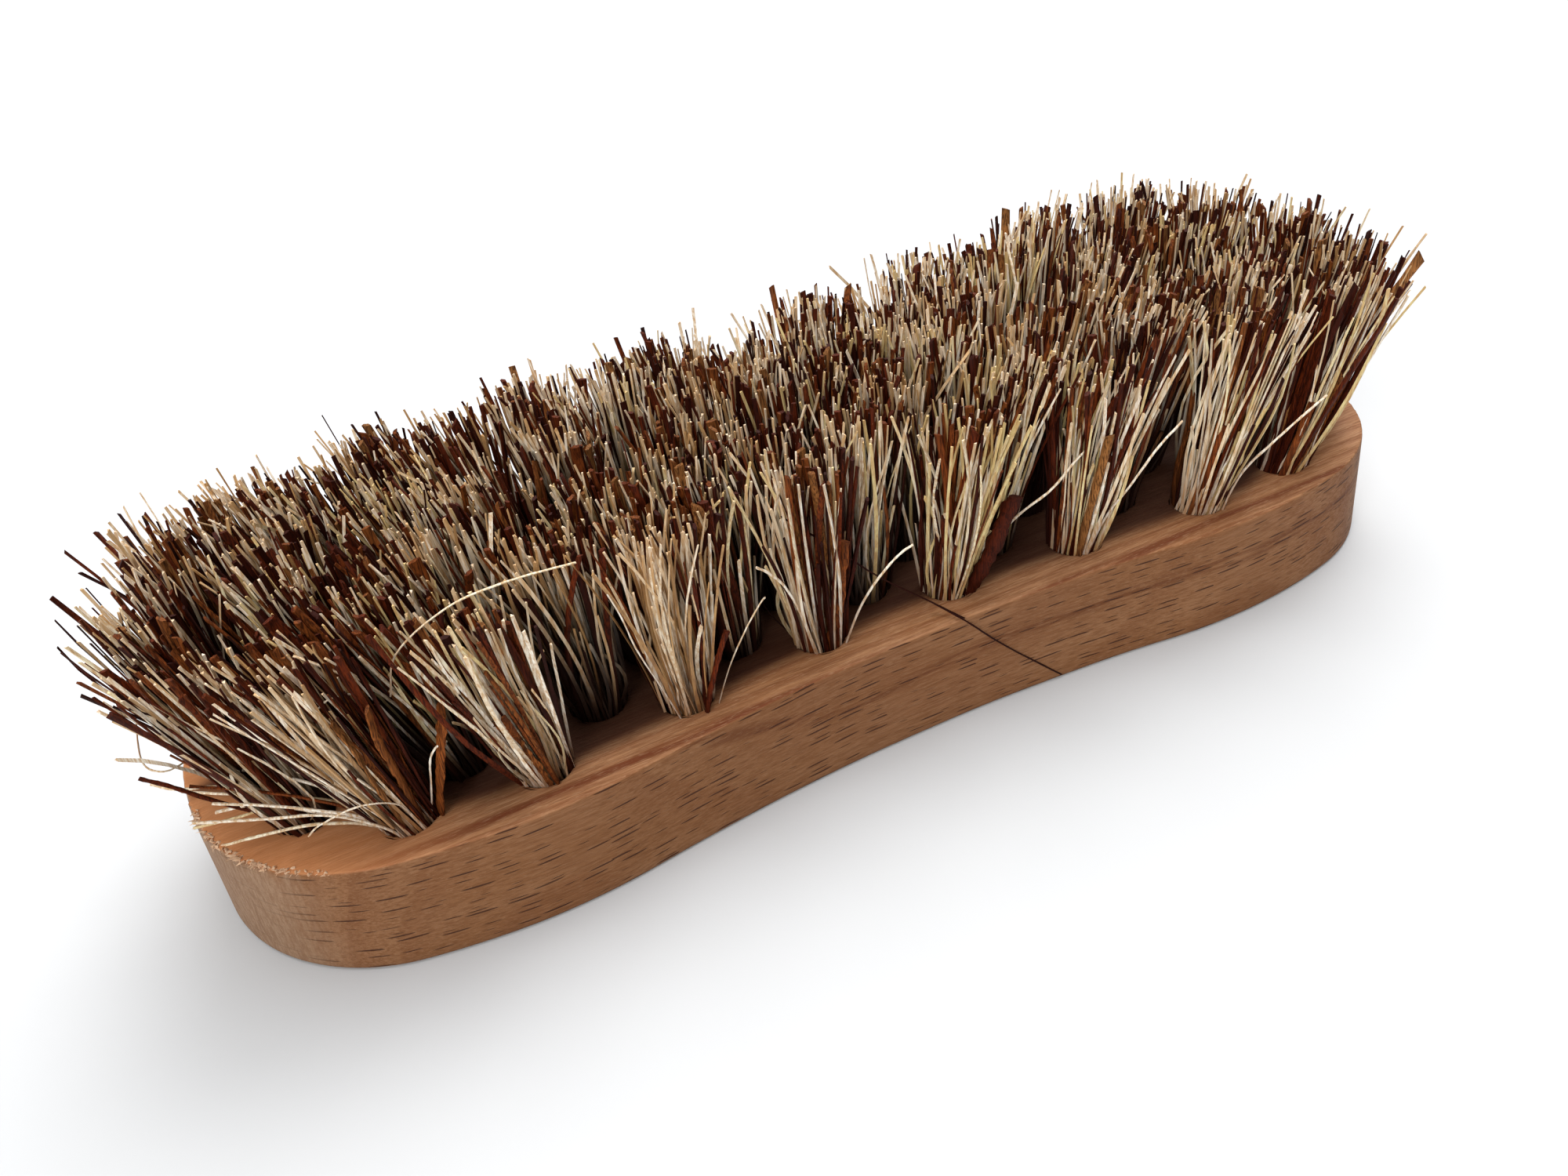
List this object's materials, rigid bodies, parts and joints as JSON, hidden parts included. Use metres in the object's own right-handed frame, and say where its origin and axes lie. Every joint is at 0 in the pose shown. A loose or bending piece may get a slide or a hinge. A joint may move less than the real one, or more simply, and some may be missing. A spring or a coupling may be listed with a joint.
{
  "type": "wooden scrub brush",
  "caption": "Hand scrub brush: a flat waisted wooden block with rows of splayed tufts of mixed stiff plant fibre, each held in a drilled hole by a wire anchor.",
  "frame": {"origin": "middle of the flat back of the block, where the block's two mirror planes meet it", "axes": "+X along the length of the block, +Y across it away from the front row a, +Z out of the drilled face, the way the fibres point"},
  "size_m": [0.2082, 0.0697, 0.0505],
  "materials": {
    "beech": "planed and lightly sanded beech, unvarnished",
    "union_fibre": "mixed stiff plant fibre, pale straw and dark red-brown stems, matt",
    "anchor_wire": "drawn flat wire"
  },
  "bodies": {
    "root": {"block": "beech", "anchors": "anchor_wire", "tuft_a1": "union_fibre", "tuft_a2": "union_fibre", "tuft_a3": "union_fibre", "tuft_a4": "union_fibre", "tuft_a5": "union_fibre", "tuft_a6": "union_fibre", "tuft_a7": "union_fibre", "tuft_a8": "union_fibre", "tuft_b1": "union_fibre", "tuft_b2": "union_fibre", "tuft_b3": "union_fibre", "tuft_b4": "union_fibre", "tuft_b5": "union_fibre", "tuft_b6": "union_fibre", "tuft_b7": "union_fibre", "tuft_b8": "union_fibre", "tuft_b9": "union_fibre", "tuft_c1": "union_fibre", "tuft_c2": "union_fibre", "tuft_c3": "union_fibre", "tuft_c4": "union_fibre", "tuft_c5": "union_fibre", "tuft_c6": "union_fibre", "tuft_c7": "union_fibre", "tuft_c8": "union_fibre", "tuft_d1": "union_fibre", "tuft_d2": "union_fibre", "tuft_d3": "union_fibre", "tuft_d4": "union_fibre", "tuft_d5": "union_fibre", "tuft_d6": "union_fibre", "tuft_d7": "union_fibre", "tuft_e1": "union_fibre", "tuft_e2": "union_fibre", "tuft_e3": "union_fibre", "tuft_e4": "union_fibre", "tuft_e5": "union_fibre", "tuft_e6": "union_fibre", "tuft_e7": "union_fibre", "tuft_e8": "union_fibre", "tuft_f1": "union_fibre", "tuft_f2": "union_fibre", "tuft_f3": "union_fibre", "tuft_f4": "union_fibre", "tuft_f5": "union_fibre", "tuft_f6": "union_fibre", "tuft_f7": "union_fibre", "tuft_f8": "union_fibre", "tuft_f9": "union_fibre", "tuft_g1": "union_fibre", "tuft_g2": "union_fibre", "tuft_g3": "union_fibre", "tuft_g4": "union_fibre", "tuft_g5": "union_fibre", "tuft_g6": "union_fibre", "tuft_g7": "union_fibre", "tuft_g8": "union_fibre"}
  },
  "joints": []
}
